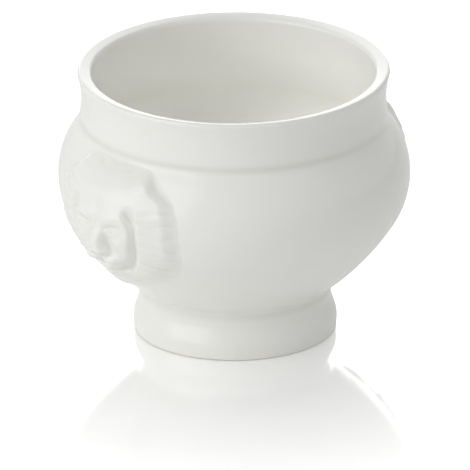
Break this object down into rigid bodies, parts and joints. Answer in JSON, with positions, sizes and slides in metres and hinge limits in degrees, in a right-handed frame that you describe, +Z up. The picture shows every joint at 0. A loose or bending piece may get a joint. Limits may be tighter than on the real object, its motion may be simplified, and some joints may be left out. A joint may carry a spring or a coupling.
{
  "type": "lion-head soup bowl",
  "caption": "Round-bellied porcelain soup bowl with an upright collar, a hollow foot ring and a moulded lion mask on each side, for gratinated onion soup.",
  "frame": {"origin": "centre of the plane that the foot ring rests on", "axes": "+Z up along the turning axis of the bowl, +X through the middle of the right-hand mask, -X through the left-hand mask"},
  "size_m": [0.134, 0.12, 0.0936],
  "materials": {
    "glazed_porcelain": "clear gloss glaze over white porcelain"
  },
  "bodies": {
    "root": {"bowl": "glazed_porcelain", "foot_ring": "glazed_porcelain", "lion_mask_left": "glazed_porcelain", "lion_mask_right": "glazed_porcelain"}
  },
  "joints": []
}
